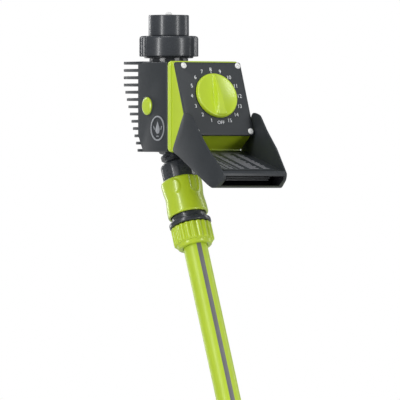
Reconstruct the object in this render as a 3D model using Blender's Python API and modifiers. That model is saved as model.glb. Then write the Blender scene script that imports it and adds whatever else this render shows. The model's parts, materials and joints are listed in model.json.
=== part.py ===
"""Drip irrigation timer with its quick connector and feed hose, as an assembly of separate pieces.

Frame: metres, +Z up, front of the timer towards -Y. The origin is on the inlet axis at the top rim of
the tap adapter, so the timer hangs below it as it does under a tap.
"""
import math

import bmesh
import bpy
from mathutils import Matrix, Vector

MM = 0.001
SEG = 24
SPRING_STEPS = 12

# Inlet stack, on the vertical axis through the origin
NUT_GROOVES = 8
NECK_R = 16.3 * MM

# Rear shell and its fins; F is the distance forward of the inlet axis
SHELL_HALF_X = 33.3 * MM
SHELL_REAR_F = 3.5 * MM
SHELL_TOP = -40.0 * MM
BOSS_R = 18.4 * MM
FIN_COUNT = 13
FIN_PITCH = 6.1 * MM
FIN_T = 2.1 * MM
FIN_TIP_F = -18.4 * MM
FIN_FLAT = 4
FIN_SLOPE = math.radians(21.3)

# Control panel, on the front shell's slope
TILT = math.radians(20.2)
PANEL_CENTRE = Vector((0, -71.0, -70.7)) * MM
PANEL_HALF_X = 32.7 * MM
PANEL_HALF_V = 32.6 * MM
PANEL_T = 2.4 * MM
PANEL_SCREW_XS = (-24.5, 29.0)
PANEL_SCREW_V = 29.2 * MM
KNOB_RIGHT = 1.5 * MM
KNOB_UP = 2.2 * MM

# Hinged cover, drawn open
PIVOT_F = 74.4 * MM
PIVOT_Z = -98.3 * MM
COVER_HALF_X = 34.7 * MM
COVER_WALL = 1.6 * MM
COVER_SIDE = [(77.8, -81.9), (87.9, -84.3), (97.9, -97.0), (133.5, -133.7), (131.6, -138.6),
              (122.6, -145.0), (118.6, -145.4), (70.3, -119.6), (61.6, -115.9)]
NOSE_HALF_X = 31.0 * MM
CHART_REAR = (61.0, -113.6)
CHART_FRONT = (133.5, -133.7)
PIN_R = 1.6 * MM

# Outlet, tilted forward from the shell's underside; S is the distance along it
OUTLET_TILT = math.radians(22.0)
OUTLET_FOOT = Vector((0, -9.0, -115.0)) * MM
HOSE_R = 10.15 * MM

# Valve, on a forward axis through the inlet pipe
VALVE_Z = -70.0 * MM

# Hose route
HOSE_START_S = 80.0 * MM
HOSE_LENGTH = 1500.0 * MM
STRAIGHT_TO_Z = -328.0 * MM
BEND_R = 90.0 * MM
COIL_R = 130.0 * MM
COIL_PITCH = 20.7 * MM
TAIL_TURN = math.radians(70)
TAIL_PULL = 12.0 * MM
COIL_POINTS = 18

PANEL_FRAME = Matrix.Translation(PANEL_CENTRE) @ Matrix.Rotation(math.pi / 2 - TILT, 4, 'X')
KNOB_FRAME = PANEL_FRAME @ Matrix.Translation((KNOB_RIGHT, KNOB_UP, 0))
OUTLET_FRAME = Matrix.Translation(OUTLET_FOOT) @ Matrix.Rotation(-OUTLET_TILT, 4, 'X')
FORWARD = Matrix.Rotation(math.pi / 2, 4, 'X')
LEFTWARD = Matrix.Rotation(-math.pi / 2, 4, 'Y')

for old in list(bpy.data.objects):
    bpy.data.objects.remove(old)

PARTS = bpy.data.collections.new("drip_irrigation_timer")
CUTTERS = bpy.data.collections.new("cutters")
for group in (PARTS, CUTTERS):
    bpy.context.scene.collection.children.link(group)


def material(name, colour, roughness, metallic=0.0):
    mat = bpy.data.materials.new(name)
    mat.use_nodes = True
    shader = mat.node_tree.nodes["Principled BSDF"]
    shader.inputs["Base Color"].default_value = (*colour, 1)
    shader.inputs["Roughness"].default_value = roughness
    shader.inputs["Metallic"].default_value = metallic
    return mat


CHARCOAL = material("charcoal_plastic", (0.075, 0.08, 0.085), 0.45)
DARK = material("dark_fitting_plastic", (0.06, 0.062, 0.068), 0.35)
LIME = material("lime_plastic", (0.56, 0.72, 0.08), 0.38)
WHITE = material("white_plastic", (0.82, 0.82, 0.8), 0.4)
RUBBER = material("black_rubber", (0.02, 0.02, 0.02), 0.8)
STEEL = material("steel", (0.62, 0.62, 0.63), 0.3, 1.0)
COPPER = material("copper_winding", (0.55, 0.25, 0.12), 0.4, 0.8)
BOARD = material("circuit_board_green", (0.03, 0.2, 0.07), 0.5)
PAPER = material("chart_label", (0.3, 0.31, 0.32), 0.6)


def place(obj, mat, frame=None):
    PARTS.objects.link(obj)
    if mat:
        obj.data.materials.append(mat)
    if frame is not None:
        obj.matrix_world = frame
    return obj


def as_cutter(obj, frame=None):
    if obj.name in PARTS.objects:
        PARTS.objects.unlink(obj)
    if obj.name not in CUTTERS.objects:
        CUTTERS.objects.link(obj)
    obj.hide_render = True
    obj.display_type = 'WIRE'
    if frame is not None:
        obj.matrix_world = frame
    return obj


def boolean(obj, other, operation='DIFFERENCE'):
    mod = obj.modifiers.new(other.name, 'BOOLEAN')
    mod.object = other
    mod.operation = operation
    mod.solver = 'EXACT'
    return obj


def mesh_object(name, bm):
    bmesh.ops.recalc_face_normals(bm, faces=bm.faces)
    mesh = bpy.data.meshes.new(name)
    bm.to_mesh(mesh)
    bm.free()
    return bpy.data.objects.new(name, mesh)


def block(name, low, high, bevel=0.0, steps=2):
    """A box between two corners given as (x, forward, z) in mm, with optional rounded edges."""
    lo = Vector((low[0], -high[1], low[2])) * MM
    hi = Vector((high[0], -low[1], high[2])) * MM
    bm = bmesh.new()
    bmesh.ops.create_cube(bm, size=1.0, matrix=Matrix.Translation((lo + hi) / 2)
                          @ Matrix.Diagonal((*(hi - lo), 1)))
    if bevel:
        bmesh.ops.bevel(bm, geom=bm.edges[:], offset=bevel * MM, segments=steps, affect='EDGES', profile=0.5)
    return mesh_object(name, bm)


def rod(name, radius, low, high, segments=SEG, top_radius=None):
    """A cylinder or cone along its own Z, from low to high, in mm."""
    bm = bmesh.new()
    top = radius if top_radius is None else top_radius
    bmesh.ops.create_cone(bm, cap_ends=True, segments=segments, radius1=radius * MM, radius2=top * MM,
                          depth=(high - low) * MM, matrix=Matrix.Translation((0, 0, (low + high) / 2 * MM)))
    obj = mesh_object(name, bm)
    smooth(obj)
    return obj


def smooth(obj, angle=35):
    obj.data.shade_smooth()
    obj.data.set_sharp_from_angle(angle=math.radians(angle))


def turned(name, profile, closed=True, steps=SEG):
    """A turned piece about its own Z. The profile is (radius, height) in mm, down its outer side."""
    mesh = bpy.data.meshes.new(name)
    points = [(r * MM, 0, z * MM) for r, z in profile]
    edges = [(i, i + 1) for i in range(len(points) - 1)]
    if closed:
        edges.append((len(points) - 1, 0))
    mesh.from_pydata(points, edges, [])
    obj = bpy.data.objects.new(name, mesh)
    mod = obj.modifiers.new("turn", 'SCREW')
    mod.axis = 'Z'
    mod.steps = steps
    mod.render_steps = steps
    mod.use_merge_vertices = True
    mod.merge_threshold = 0.00002
    mod.use_smooth_shade = True
    return obj


def outline(name, points, low, high):
    """A flat outline in mm, made solid along its own Z from low to high, in mm."""
    curve = bpy.data.curves.new(name, 'CURVE')
    curve.dimensions = '2D'
    curve.fill_mode = 'BOTH'
    curve.extrude = (high - low) / 2 * MM
    spline = curve.splines.new('POLY')
    spline.points.add(len(points) - 1)
    for point, (x, y) in zip(spline.points, points):
        point.co = (x * MM, y * MM, 0, 1)
    spline.use_cyclic_u = True
    flat = bpy.data.objects.new(name + "_outline", curve)
    bpy.context.scene.collection.objects.link(flat)
    bpy.context.view_layer.update()
    graph = bpy.context.evaluated_depsgraph_get()
    mesh = bpy.data.meshes.new_from_object(flat.evaluated_get(graph))
    bpy.data.objects.remove(flat)
    bm = bmesh.new()
    bm.from_mesh(mesh)
    bmesh.ops.remove_doubles(bm, verts=bm.verts, dist=0.00001)
    bmesh.ops.translate(bm, verts=bm.verts, vec=(0, 0, (low + high) / 2 * MM))
    bpy.data.meshes.remove(mesh)
    return mesh_object(name, bm)


def side_prism(name, points, low, high):
    """A side outline in (forward, z) mm, made solid across X from low to high, in mm."""
    obj = outline(name, points, low, high)
    turn = Matrix(((0, 0, 1, 0), (-1, 0, 0, 0), (0, 1, 0, 0), (0, 0, 0, 1)))
    obj.data.transform(turn)
    obj.data.flip_normals()
    return obj


def circle_points(radius, count, start=0.0):
    return [(radius * math.cos(start + math.tau * i / count), radius * math.sin(start + math.tau * i / count))
            for i in range(count)]


def ring(name, inner, outer, top, bottom, mat, frame=None, steps=SEG):
    """A plain washer about its own Z, sizes in mm."""
    return place(turned(name, [(inner, top), (outer, top), (outer, bottom), (inner, bottom)], True, steps),
                 mat, frame)


def wire(name, points, radius, mat, resolution=2, frame=None):
    """A round wire through points given in metres."""
    curve = bpy.data.curves.new(name, 'CURVE')
    curve.dimensions = '3D'
    curve.bevel_depth = radius
    curve.bevel_resolution = resolution
    curve.use_fill_caps = True
    spline = curve.splines.new('POLY')
    spline.points.add(len(points) - 1)
    for point, co in zip(spline.points, points):
        point.co = (*co, 1)
    return place(bpy.data.objects.new(name, curve), mat, frame)


def spring(name, radius, wire_r, low, high, turns, frame, mat=None):
    """A round-wire compression spring about its own Z, from low to high, in mm."""
    count = turns * SPRING_STEPS
    start = low + wire_r
    rise = high - low - 2 * wire_r
    points = [Vector((radius * math.cos(math.tau * i / SPRING_STEPS),
                      radius * math.sin(math.tau * i / SPRING_STEPS),
                      start + rise * i / count)) * MM for i in range(count + 1)]
    return wire(name, points, wire_r * MM, mat or STEEL, 0, frame)


def screw(name, head_r, head_h, shank_r, shank_len, frame, mat):
    """A domed screw whose seat is at its own Z 0 and whose shank runs down."""
    profile = [(0, head_h), (head_r * 0.6, head_h * 0.82), (head_r, head_h * 0.3), (head_r, 0),
               (shank_r, 0), (shank_r, -shank_len), (0, -shank_len)]
    return place(turned(name, profile, False, 12), mat, frame)


def shift(frame, x=0.0, y=0.0, z=0.0):
    return frame @ Matrix.Translation(Vector((x, y, z)) * MM)


def forward_frame(z):
    """A frame whose Z runs forward, so a height there is a distance forward of the inlet axis."""
    return Matrix.Translation((0, 0, z)) @ FORWARD


def inlet_stack():
    place(turned("tap_adapter", [(13.3, 0), (16.0, 0), (16.7, -0.25), (17.0, -1.0), (17.0, -17.3),
                                 (16.1, -17.3), (16.1, -27.0), (9.5, -27.0), (9.5, -15.5), (13.3, -15.5)]), DARK)
    ring("adapter_washer", 9.8, 13.0, -13.2, -15.2, RUBBER)
    place(turned("filter_screen", [(0, 2.7), (1.6, 2.3), (2.7, 1.2), (3.1, -0.3), (7.4, -12.0), (13.0, -12.0),
                                   (13.0, -12.9), (6.8, -12.9), (2.2, -0.6), (1.5, 0.9), (0, 1.6)], False), WHITE)
    nut = turned("inlet_nut", [(16.5, -17.6), (22.9, -17.6), (24.3, -18.4), (24.85, -19.8), (24.85, -34.8),
                               (20.7, -34.8), (20.7, -36.2), (14.9, -36.2), (14.9, -33.6), (16.5, -33.6)],
                 True, 40)
    place(nut, DARK)
    bm = bmesh.new()
    for x, y in circle_points(25.5, NUT_GROOVES, math.radians(11)):
        bmesh.ops.create_cone(bm, cap_ends=True, segments=8, radius1=1.9 * MM, radius2=1.9 * MM,
                              depth=24 * MM, matrix=Matrix.Translation(Vector((x, y, -26)) * MM))
    boolean(nut, as_cutter(mesh_object("nut_grooves", bm)))
    ring("union_washer", 10.0, 15.9, -27.3, -29.3, RUBBER)


def pipe_bore(name, radius, low, high, frame):
    return as_cutter(rod(name, radius, low, high, 16), frame)


def valve():
    """The water body: inlet spigot, diaphragm chamber facing forward, and the tilted outlet stub."""
    body = turned("valve_body", [(0, -29.6), (16.1, -29.6), (16.1, -33.2), (14.5, -33.2), (14.5, -36.5),
                                 (NECK_R / MM, -36.5), (NECK_R / MM, -39.0), (15.5, -39.0), (15.5, -92.0),
                                 (0, -92.0)], False)
    place(body, DARK)
    chamber = rod("chamber_wall", 17.0, 6.3, 20)
    chamber.matrix_world = forward_frame(VALVE_Z)
    boolean(body, as_cutter(chamber), 'UNION')
    elbow = rod("elbow_wall", 13.0, 2.6, 34)
    boolean(body, as_cutter(elbow, OUTLET_FRAME), 'UNION')
    boolean(body, as_cutter(rod("outlet_stub", 9.4, -14.0, 6.0), OUTLET_FRAME), 'UNION')
    collar = as_cutter(rod("outlet_collar", 12.4, -5.2, -2.9), OUTLET_FRAME)
    boolean(collar, as_cutter(block("collar_trim", (-20, -20, -115.4), (20, 40, -100))))
    boolean(body, collar, 'UNION')
    boolean(body, pipe_bore("inlet_bore", 8.0, -62.5, -20, Matrix.Identity(4)))
    annulus = as_cutter(turned("annulus_bore", [(6.0, 24), (12.0, 24), (12.0, 12), (6.0, 12)], True, 20))
    annulus.matrix_world = forward_frame(VALVE_Z)
    boolean(body, annulus)
    boolean(body, pipe_bore("rim_relief", 7.0, 17.0, 24, forward_frame(VALVE_Z)))
    boolean(body, pipe_bore("inlet_passage", 2.7, 2.0, 13.0, forward_frame(-60.9 * MM)))
    boolean(body, pipe_bore("seat_bore", 4.2, 0.0, 22.0, forward_frame(VALVE_Z)))
    boolean(body, pipe_bore("drop_bore", 5.0, -93.0, -70.0, Matrix.Identity(4)))
    boolean(body, pipe_bore("outlet_bore", 5.0, -20.0, 24.5, OUTLET_FRAME))
    axis = forward_frame(VALVE_Z)
    place(turned("diaphragm", [(0, 21.4), (16.2, 21.4), (16.2, 20.3), (11.5, 20.3), (9.0, 19.6), (6.4, 17.4),
                               (0, 17.4)], False, 24), RUBBER, axis)
    bonnet = turned("valve_bonnet", [(0, 45.2), (4.3, 45.2), (4.7, 44.6), (4.7, 25.0), (16.9, 25.0),
                                     (16.9, 21.7), (3.7, 21.7), (3.7, 43.8), (0, 43.8)], False, 24)
    place(bonnet, DARK, axis)
    place(rod("plunger", 3.3, 22.2, 36.0, 24), STEEL, axis)
    spring("plunger_spring", 2.6, 0.35, 36.3, 43.5, 4, axis)
    ring("solenoid_coil", 5.0, 10.3, 41.0, 25.6, COPPER, axis, 32)
    yoke = block("solenoid_yoke", (-12.2, 25.3, -77.2), (12.2, 42.8, -62.8))
    place(yoke, STEEL)
    boolean(yoke, as_cutter(block("yoke_window", (-11, 24, -79), (11, 41.4, -61))))
    boolean(yoke, pipe_bore("yoke_hole", 5.0, 40, 44, axis))
    for number, (x, z) in enumerate(circle_points(14.6, 4, math.pi / 4), 1):
        spot = shift(axis, x, z, 25.3)
        screw("bonnet_screw_%d" % number, 2.0, 1.4, 1.0, 8.0, spot, STEEL)
        hole = pipe_bore("bonnet_hole_%d" % number, 1.35, -9.0, 1.0, spot)
        for piece in (body, bonnet, bpy.data.objects["diaphragm"]):
            boolean(piece, hole)


def fin(number):
    """One rear fin: a full-width plate from the shell's back to its tip."""
    z = SHELL_TOP - FIN_T / 2 + 0.6 * MM - number * FIN_PITCH
    drop = max(0, number - FIN_FLAT + 1) * FIN_PITCH
    tip = FIN_TIP_F + drop * math.tan(FIN_SLOPE)
    points = [(SHELL_REAR_F / MM + 8, (z + FIN_T / 2) / MM), (tip / MM, (z + FIN_T / 2) / MM),
              (tip / MM, (z - FIN_T / 2) / MM), (SHELL_REAR_F / MM + 8, (z - FIN_T / 2) / MM)]
    return side_prism("fin_plate_%02d" % number, points, -SHELL_HALF_X / MM, SHELL_HALF_X / MM)


def rear_shell():
    side = [(3.5, -40), (48.5, -40), (48.5, -115), (11.5, -115), (9.6, -112), (3.5, -101)]
    shell = side_prism("rear_shell", side, -33.3, 33.3)
    place(shell, CHARCOAL)
    for number in range(FIN_COUNT):
        boolean(shell, as_cutter(fin(number)), 'UNION')
    boolean(shell, as_cutter(rod("pipe_boss", BOSS_R / MM, -96, -40)), 'UNION')
    boolean(shell, as_cutter(rod("elbow_boss", 15.8, 0.8, 30), OUTLET_FRAME), 'UNION')
    inner = [(5.9, -42.4), (60, -42.4), (60, -112.6), (13.2, -112.6), (5.9, -100.4)]
    boolean(shell, as_cutter(side_prism("shell_cavity", inner, -31.1, 31.1)))
    boolean(shell, pipe_bore("pipe_clearance", 15.9, -93, -38, Matrix.Identity(4)))
    boolean(shell, pipe_bore("elbow_clearance", 13.4, 2.3, 36, OUTLET_FRAME))
    boolean(shell, pipe_bore("stub_clearance", 9.9, -12, 20, OUTLET_FRAME))
    boolean(shell, as_cutter(block("under_trim", (-40, -30, -130), (40, 60, -115.01))))
    left = Matrix.Translation((-SHELL_HALF_X, -19.0 * MM, -76.7 * MM)) @ LEFTWARD
    boolean(shell, pipe_bore("button_hole", 7.7, -5, 5, left))
    door = block("door_hole", (28, 25.9, -112.2), (40, 44.2, -84.7))
    boolean(shell, as_cutter(door))
    for number, f in enumerate((28.0, 42.0), 1):
        boolean(shell, pipe_bore("door_screw_hole_%d" % number, 1.4, -8, 4, door_screw_frame(f)))
    frame = block("shell_gasket", (-33.0, 48.8, -114.7), (33.0, 49.5, -40.3))
    place(frame, RUBBER)
    boolean(frame, as_cutter(block("gasket_window", (-31.3, 47, -112.8), (31.3, 52, -42.2))))


def button():
    left = Matrix.Translation((-SHELL_HALF_X, -19.0 * MM, -76.7 * MM)) @ LEFTWARD
    place(turned("side_button", [(0, 1.9), (5.8, 1.9), (6.9, 1.5), (7.35, 0.6), (7.35, -2.5), (8.6, -2.5),
                                 (8.6, -3.6), (2.2, -3.6), (2.2, -6.2), (0, -6.2)], False, 32), LIME, left)
    spring("button_spring", 4.4, 0.4, -8.8, -3.9, 3, left)
    plate = block("button_switch", (-24.2, 12.5, -83.2), (-22.6, 25.5, -70.2))
    place(plate, BOARD)
    key = rod("switch_key", 2.6, -9.4, -7.9, 20)
    boolean(plate, as_cutter(key, left), 'UNION')


def badge():
    left = Matrix.Translation((-SHELL_HALF_X, -35.2 * MM, -95.4 * MM)) @ LEFTWARD
    ring("side_badge", 9.3, 10.5, 0.7, 0.3, PAPER, left, 32)


def door_screw_frame(f):
    return Matrix.Translation(Vector((36.5, -f, -80.4)) * MM) @ Matrix.Rotation(math.pi / 2, 4, 'Y')


def battery_bay():
    place(block("battery", (-17.9, 26.4, -111.7), (30.6, 43.7, -85.2), 1.0, 1), STEEL)
    clip = block("battery_clip", (-21.0, 27.4, -110.5), (-18.2, 42.7, -86.4), 0.5, 1)
    place(clip, RUBBER)
    seal = block("door_gasket", (33.6, 23.9, -114.0), (34.4, 46.2, -76.9))
    place(seal, RUBBER)
    boolean(seal, as_cutter(block("seal_window", (33, 25.9, -112.0), (35, 44.2, -84.7))))
    door = block("battery_door", (34.7, 23.9, -114.0), (36.5, 46.2, -76.9), 0.6, 1)
    place(door, CHARCOAL)
    for number, f in enumerate((28.0, 42.0), 1):
        frame = door_screw_frame(f)
        hole = pipe_bore("door_clear_%d" % number, 1.4, -8, 4, frame)
        boolean(door, hole)
        boolean(seal, hole)
        screw("door_screw_%d" % number, 2.6, 1.4, 1.05, 6.0, shift(frame, 0, 0, 0.3), STEEL)


def panel_point(n, v):
    """The (forward, z) place, in mm, at height v up the panel's slope and n out of its face."""
    f = -PANEL_CENTRE.y / MM + n * math.cos(TILT) - v * math.sin(TILT)
    z = PANEL_CENTRE.z / MM + n * math.sin(TILT) + v * math.cos(TILT)
    return f, z


def front_shell():
    half = PANEL_HALF_V / MM
    bead = block("front_shell", (-33.9, 49.8, -115.4), (33.9, 55.0, -39.3), 1.4, 2)
    place(bead, LIME)
    back = -PANEL_T / MM - 0.3
    top = panel_point(back, half - 0.9)
    low = panel_point(back, -half + 0.5)
    wedge = [(51.5, -39.4), (54.6, -39.4), top, low, (61.8, -112.7), (51.5, -113.4)]
    boolean(bead, as_cutter(side_prism("wedge", wedge, -32.3, 32.3)), 'UNION')
    inner_top = panel_point(back - 2.0, half - 3.2)
    inner_low = panel_point(back - 2.0, -half + 3.2)
    hollow = [(45, -41.6), (54.0, -41.6), inner_top, inner_low, (59.6, -110.4), (45, -112.4)]
    boolean(bead, as_cutter(side_prism("wedge_hollow", hollow, -30.3, 30.3)))
    boolean(bead, pipe_bore("shaft_hole", 4.7, -12, 4, KNOB_FRAME))
    for side in (-1, 1):
        hole = rod("pin_hole_left" if side < 0 else "pin_hole_right", 1.95, 29.0, 34, 20)
        frame = Matrix.Translation((0, -PIVOT_F, PIVOT_Z)) @ Matrix.Rotation(side * math.pi / 2, 4, 'Y')
        boss = as_cutter(rod("pin_boss_%d" % (side + 1), 3.4, 27.4, 32.3, 20), frame)
        boolean(bead, boss, 'UNION')
        boolean(bead, as_cutter(hole, frame))
    return bead


def control_panel():
    half_x = PANEL_HALF_X / MM
    half_v = PANEL_HALF_V / MM
    bm = bmesh.new()
    size = Vector((2 * half_x, 2 * half_v, PANEL_T / MM)) * MM
    bmesh.ops.create_cube(bm, size=1.0, matrix=Matrix.Translation((0, 0, -size.z / 2)) @ Matrix.Diagonal((*size, 1)))
    rim = [e for e in bm.edges if all(v.co.z > -size.z / 2 for v in e.verts)]
    bmesh.ops.bevel(bm, geom=rim, offset=1.0 * MM, segments=2, affect='EDGES', profile=0.5)
    panel = place(mesh_object("control_panel", bm), CHARCOAL, PANEL_FRAME)
    boolean(panel, pipe_bore("panel_hole", 4.7, -8, 4, KNOB_FRAME))
    shell = bpy.data.objects["front_shell"]
    corners = [(x, side) for side in (1, -1) for x in PANEL_SCREW_XS]
    for number, (x, side) in enumerate(corners, 1):
        frame = shift(PANEL_FRAME, x, side * PANEL_SCREW_V / MM, 0)
        hole = pipe_bore("panel_screw_hole_%d" % number, 1.5, -4.6, 3, frame)
        boolean(panel, hole)
        boolean(shell, hole)
        screw("panel_screw_%d" % number, 2.6, 1.3, 1.15, 4.4, shift(frame, 0, 0, 0.3), WHITE)


def knob():
    """The dial knob with its grip ridge, and the spindle that it turns."""
    base = turned("dial_knob", [(0, 3.0), (15.5, 3.0), (17.6, 3.6), (18.8, 3.3), (19.5, 2.4), (19.5, 0.6),
                                (0, 0.6)], False, 40)
    place(base, LIME, KNOB_FRAME)
    ridge = outline("grip_ridge", [(-1.2, 17.4), (1.2, 17.4), (5.0, -16.6), (3.0, -17.8), (-3.0, -17.8),
                                   (-5.0, -16.6)], 1.6, 6.4)
    mod = ridge.modifiers.new("soften", 'BEVEL')
    mod.width = 1.0 * MM
    mod.segments = 2
    mod.limit_method = 'ANGLE'
    boolean(base, as_cutter(ridge, KNOB_FRAME), 'UNION')
    boolean(base, pipe_bore("spindle_socket", 3.3, 0, 2.5, KNOB_FRAME))
    place(rod("dial_spindle", 3.0, -4.6, 2.2, 24), WHITE, KNOB_FRAME)
    ring("spindle_seal", 3.3, 4.4, -0.4, -2.2, RUBBER, KNOB_FRAME, 24)
    place(rod("dial_switch", 7.0, -9.4, -5.0, 28), STEEL, KNOB_FRAME)
    board = place(block("circuit_board", (-25, -0.8, -23), (25, 0.8, 23)), BOARD)
    board.data.transform(Matrix.Rotation(-math.pi / 2, 4, 'X'))
    board.matrix_world = shift(PANEL_FRAME, 0, 0, -10.5)


def taper(name, half, nose_half, low_f, high_f):
    """A plan outline, parallel at the ears and drawn in towards the nose, as a tall solid."""
    bend = 113.0
    points = [(half, -low_f), (half, -bend), (nose_half, -high_f), (-nose_half, -high_f), (-half, -bend),
              (-half, -low_f)]
    return outline(name, points, -160, -60)


def cover():
    """The hinged cover: two ears, side walls, the chart plate and a hollow nose with grip ribs."""
    outer = COVER_HALF_X / MM
    inner = outer - COVER_WALL / MM
    nose = NOSE_HALF_X / MM
    hood = side_prism("cover", COVER_SIDE, -outer, outer)
    place(hood, CHARCOAL)
    boolean(hood, as_cutter(taper("cover_plan", outer, nose, 50, 136)), 'INTERSECT')
    slope = (CHART_FRONT[1] - CHART_REAR[1]) / (CHART_FRONT[0] - CHART_REAR[0])

    def chart_z(f):
        return CHART_REAR[1] + slope * (f - CHART_REAR[0])

    tray = side_prism("tray_space", [(50, chart_z(50)), (130.6, chart_z(130.6)), (133, -120), (133, -70),
                                     (50, -70)], -inner, inner)
    plan = as_cutter(taper("tray_plan", inner, nose - 1.4, 40, 136))
    boolean(tray, plan, 'INTERSECT')
    boolean(hood, as_cutter(tray))
    recess = side_prism("nose_space", [(84, chart_z(84) - 2.4), (140, chart_z(140) - 2.4), (140, -160),
                                       (112, -139.6), (84, -125.0)], -27.5, 27.5)
    boolean(hood, as_cutter(recess))
    hinge = Matrix.Translation((0, -PIVOT_F, PIVOT_Z)) @ Matrix.Rotation(math.pi / 2, 4, 'Y')
    boolean(hood, pipe_bore("ear_sockets", 2.0, -34.0, 34.0, hinge))
    for side, name in ((-1, "hinge_pin_left"), (1, "hinge_pin_right")):
        frame = Matrix.Translation((0, -PIVOT_F, PIVOT_Z)) @ Matrix.Rotation(side * math.pi / 2, 4, 'Y')
        place(rod(name, PIN_R / MM, 29.4, 33.7, 20), STEEL, frame)
    tilt = math.atan(-slope)
    label = place(block("programme_chart", (-25, -28, 0), (25, 28, 0.5)), PAPER)
    label.matrix_world = (Matrix.Translation(Vector((0, -98.0, chart_z(98.0) + 0.35)) * MM)
                          @ Matrix.Rotation(tilt, 4, 'X'))


def nose_grille():
    """A ribbed black grip pushed into the cover's hollow nose."""
    plate = side_prism("nose_grille", [(117.5, -132.7), (119.0, -133.1), (113.5, -138.6), (112.0, -137.6)],
                       -27.1, 27.1)
    place(plate, RUBBER)
    for number in range(3):
        f = 118.2 - number * 1.9
        z = -134.3 - number * 1.7
        rib = side_prism("grip_rib_%d" % number, [(f - 1.5, z + 0.5), (f + 4.5, z - 0.5), (f + 4.5, z - 1.3),
                                                  (f - 1.5, z - 0.5)], -22, 22)
        boolean(plate, as_cutter(rib), 'UNION')


def connector(prefix, frame):
    """A hose quick connector whose nipple end is at S 27 along the outlet frame's own -Z."""
    body = turned(prefix + "body", [(8.9, -26.9), (14.4, -26.9), (14.4, -36.0), (12.4, -37.0), (12.4, -56.6),
                                    (14.4, -57.6), (14.4, -62.8), (17.2, -62.8), (17.7, -63.4), (17.7, -66.2),
                                    (17.2, -66.8), (13.0, -66.8), (13.0, -79.6), (8.9, -79.6)])
    place(body, DARK, frame)
    sleeve = turned(prefix + "sleeve", [(14.8, -26.3), (16.6, -26.3), (17.2, -27.2), (17.2, -31.5), (16.3, -37.5),
                                        (16.6, -44.0), (17.1, -57.0), (16.7, -57.8), (14.8, -57.8), (14.8, -39.4),
                                        (12.9, -39.4), (12.9, -38.0), (14.8, -37.2)], True, 24)
    place(sleeve, LIME, frame)
    spring(prefix + "spring", 13.7, 0.55, -56.4, -39.7, 5, frame)
    nut = turned(prefix + "nut", [(13.4, -67.3), (16.2, -67.3), (17.0, -68.0), (17.0, -81.6), (16.0, -83.4),
                                  (14.2, -85.6), (13.2, -86.0), (10.65, -86.0), (10.65, -84.9), (13.4, -84.9)],
                 True, 40)
    place(nut, LIME, frame)
    bm = bmesh.new()
    for x, y in circle_points(18.15, 20):
        bmesh.ops.create_cone(bm, cap_ends=True, segments=8, radius1=1.75 * MM, radius2=1.75 * MM,
                              depth=30 * MM, matrix=Matrix.Translation(Vector((x, y, -83)) * MM))
    boolean(nut, as_cutter(mesh_object(prefix + "nut_flutes", bm), frame))
    ring(prefix + "grip_ring", 10.5, 13.0, -81.2, -84.5, WHITE, frame, 32)


def nipple():
    place(turned("outlet_nipple", [(9.8, -8.8), (10.6, -8.8), (14.0, -11.6), (14.5, -12.4), (14.5, -25.9),
                                   (8.3, -25.9), (8.3, -46.6), (7.3, -46.6), (7.3, -49.4), (8.3, -49.4),
                                   (7.6, -52.0), (5.6, -52.0), (5.6, -16.0), (9.8, -16.0)]), DARK, OUTLET_FRAME)
    ring("nipple_seal", 7.6, 8.6, -46.9, -49.1, RUBBER, OUTLET_FRAME, 32)
    ring("outlet_washer", 5.8, 9.5, -14.3, -15.7, RUBBER, OUTLET_FRAME, 32)


def hose_route():
    """The hose's centreline: straight out of the connector, one bend, then a flat inward spiral."""
    out = OUTLET_FRAME.to_3x3() @ Vector((0, 0, -1))
    start = OUTLET_FOOT + out * HOSE_START_S
    straight = (STRAIGHT_TO_Z - start.z) / out.z
    points = [start + out * straight * i / 6 for i in range(7)]
    across = Vector((1, 0, 0))
    foot = points[-1]
    bend = [foot + across * BEND_R * (1 - math.cos(a)) + out * BEND_R * math.sin(a)
            for a in (math.radians(9 * i) for i in range(1, 11))]
    points += bend
    land = points[-1]
    centre = land + Vector((0, COIL_R, 0))
    left = HOSE_LENGTH - straight - BEND_R * math.pi / 2
    coil = []
    turn = 0.0
    step = math.tau / COIL_POINTS / 4
    travelled = 0.0
    last = land
    total = None
    while total is None:
        turn += step
        radius = COIL_R - COIL_PITCH * turn / math.tau
        here = centre + Vector((math.sin(turn), -math.cos(turn), 0)) * radius
        travelled += (here - last).length
        last = here
        if travelled >= left:
            total = turn
    count = math.ceil(total / (math.tau / COIL_POINTS))
    for i in range(1, count + 1):
        turn = total * i / count
        drawn_in = TAIL_PULL * max(0.0, (turn - total + TAIL_TURN) / TAIL_TURN) ** 2
        radius = COIL_R - COIL_PITCH * turn / math.tau - drawn_in
        coil.append(centre + Vector((math.sin(turn), -math.cos(turn), 0)) * radius)
    return points, coil, centre


def hose():
    points, coil, centre = hose_route()
    tube = points[:-5]
    wire("hose", tube, HOSE_R, LIME, 3)
    outer = COIL_R / MM + HOSE_R / MM + 0.3
    inner = min((p - centre).length for p in coil) / MM - HOSE_R / MM - 0.3
    base = centre.z / MM
    coil_ring = turned("hose_coil", [(inner, base + 10.15), (outer, base + 10.15), (outer, base - 10.15),
                                     (inner, base - 10.15)], True, 44)
    place(coil_ring, LIME, Matrix.Translation((centre.x, centre.y, 0)))
    end = coil[-1]
    heading = (coil[-1] - coil[-2]).normalized()
    side = Vector((0, 0, 1)).cross(heading)
    frame = Matrix.Translation(end) @ Matrix((side, Vector((0, 0, 1)), heading)).transposed().to_4x4()
    slot = as_cutter(rod("joiner_slot", 11.2, -0.3, 60, 24), frame)
    boolean(coil_ring, slot)
    joiner = turned("hose_joiner", [(5.0, 36), (6.6, 36), (7.3, 31.5), (6.4, 31.5), (7.3, 27), (6.4, 27),
                                    (7.3, 22.5), (6.4, 22.5), (6.4, 12), (10.4, 12), (10.8, 11), (10.8, 1.0),
                                    (10.4, 0.3), (5.0, 0.3)], True, 20)
    place(joiner, DARK, frame)


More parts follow.
